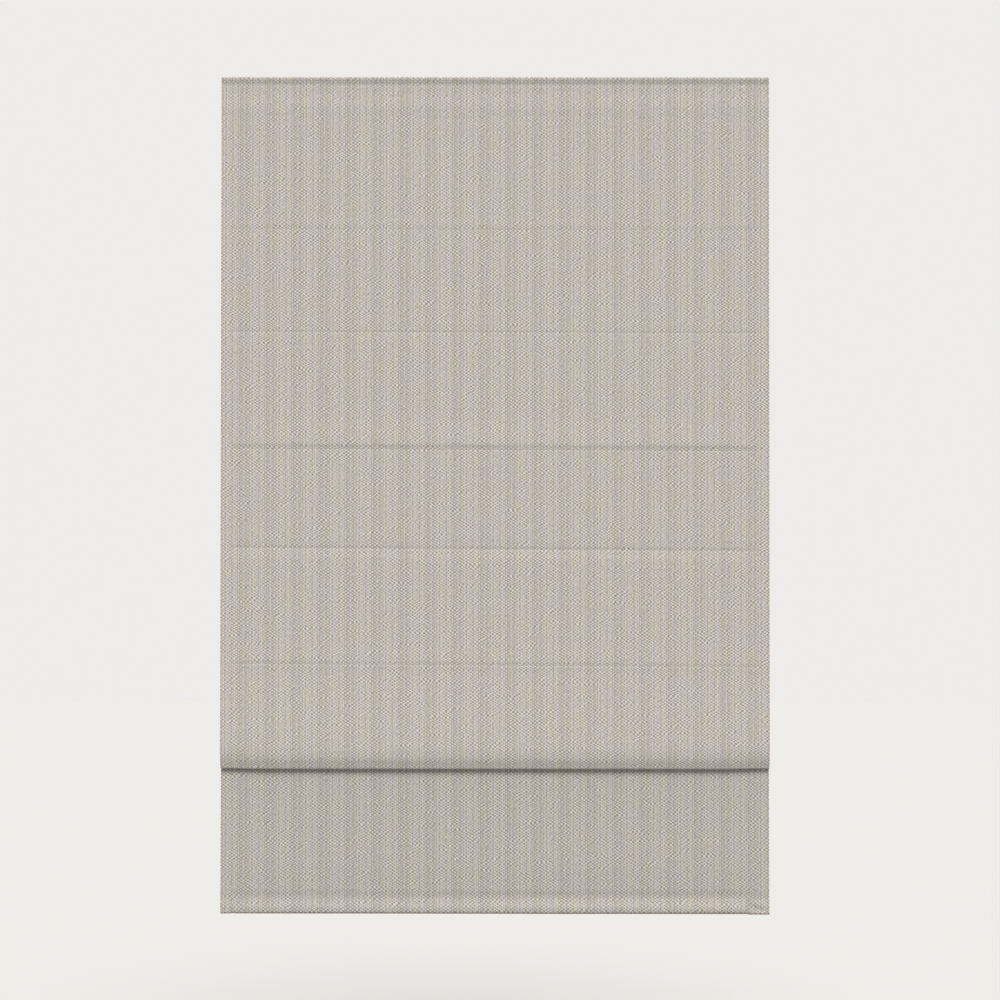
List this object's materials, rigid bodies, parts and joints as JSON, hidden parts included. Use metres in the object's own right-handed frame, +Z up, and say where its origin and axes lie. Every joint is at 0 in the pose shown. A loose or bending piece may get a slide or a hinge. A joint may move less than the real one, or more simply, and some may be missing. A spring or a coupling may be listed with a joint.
{
  "type": "roman blind",
  "caption": "Flat roman blind of woven cloth on a slim headrail, hung nearly full length with its lowest pleat gathered; spring lift with no outside cord.",
  "frame": {"origin": "on the plane of the mounting clips' top faces, midway along the blind and midway through the depth of its headrail", "axes": "+X along the blind to the right as seen from the room, +Y towards the window, +Z up; the cloth's front faces -Y"},
  "size_m": [0.838, 0.0537, 1.279],
  "materials": {
    "face_cloth": "woven, matt, slubby",
    "lining_cloth": "plain weave, matt",
    "rail_enamel": "satin enamel",
    "white_plastic": "moulded, fine grain",
    "spring_steel_plate": "zinc plated",
    "fastening_tape": "hook and loop tape, matt",
    "grey_plastic": "moulded, satin",
    "spool_plastic": "acetal, satin",
    "plated_steel": "drawn and zinc plated",
    "clear_plastic": "clear moulding, seen as pale grey",
    "cord_braid": "round braid",
    "rod_glass_fibre": "drawn glass fibre",
    "bar_aluminium": "extruded, mill finish"
  },
  "bodies": {
    "headrail": {"end_cap_left": "white_plastic", "end_cap_right": "white_plastic", "face_fabric": "face_cloth", "headrail": "rail_enamel", "hook_strip": "fastening_tape", "lift_cord_left": "cord_braid", "lift_cord_right": "cord_braid", "lining": "lining_cloth", "loop_strip": "fastening_tape", "motor_case": "grey_plastic", "motor_lid": "grey_plastic", "mounting_clip_left": "spring_steel_plate", "mounting_clip_right": "spring_steel_plate", "spool_cradle_left": "grey_plastic", "spool_cradle_right": "grey_plastic"},
    "batten_1": {"back_pocket_1": "lining_cloth", "back_rod_1": "rod_glass_fibre", "cord_guide_1_left": "clear_plastic", "cord_guide_1_right": "clear_plastic", "front_pocket_1": "lining_cloth", "front_rod_1": "rod_glass_fibre"},
    "batten_2": {"back_pocket_2": "lining_cloth", "back_rod_2": "rod_glass_fibre", "cord_guide_2_left": "clear_plastic", "cord_guide_2_right": "clear_plastic", "front_pocket_2": "lining_cloth", "front_rod_2": "rod_glass_fibre"},
    "batten_3": {"back_pocket_3": "lining_cloth", "back_rod_3": "rod_glass_fibre", "cord_guide_3_left": "clear_plastic", "cord_guide_3_right": "clear_plastic", "front_pocket_3": "lining_cloth", "front_rod_3": "rod_glass_fibre"},
    "batten_4": {"back_pocket_4": "lining_cloth", "back_rod_4": "rod_glass_fibre", "bar_cap_left": "white_plastic", "bar_cap_right": "white_plastic", "bottom_bar": "bar_aluminium", "cord_anchor_left": "clear_plastic", "cord_anchor_right": "clear_plastic", "stop_bead_left": "clear_plastic", "stop_bead_right": "clear_plastic"},
    "lift_shaft": {"lift_rod": "plated_steel", "cord_spool_left": "spool_plastic", "cord_winding_left": "cord_braid", "cord_spool_right": "spool_plastic", "cord_winding_right": "cord_braid"}
  },
  "joints": [
    {"name": "pleat_1", "type": "slide", "parent": "headrail", "child": "batten_1", "axis": [0, 0.0675, 0.9977], "range_m": [0, 0.17029], "deforming": ["face_fabric", "lining", "lift_cord_left", "lift_cord_right"]},
    {"name": "pleat_2", "type": "slide", "parent": "batten_1", "child": "batten_2", "axis": [0, 0.0355, 0.9994], "range_m": [0, 0.3244], "deforming": ["face_fabric", "lining", "lift_cord_left", "lift_cord_right"]},
    {"name": "pleat_3", "type": "slide", "parent": "batten_2", "child": "batten_3", "axis": [0, 0.0355, 0.9994], "range_m": [0, 0.3244], "deforming": ["face_fabric", "lining", "lift_cord_left", "lift_cord_right"]},
    {"name": "pleat_4", "type": "slide", "parent": "batten_3", "child": "batten_4", "axis": [0, 0.0225, 0.9997], "range_m": [-0.32428, 0], "deforming": ["face_fabric", "lining", "lift_cord_left", "lift_cord_right"]},
    {"name": "lift_shaft_turn", "type": "hinge", "parent": "headrail", "child": "lift_shaft", "pos_m": [0, 0.0028, -0.0325], "axis": [1, 0, 0], "range_deg": [-10, 2080]}
  ],
  "couplings": [
    {"joint": "lift_shaft_turn", "follows": "pleat_4", "rad_per_m": -111.11}
  ]
}
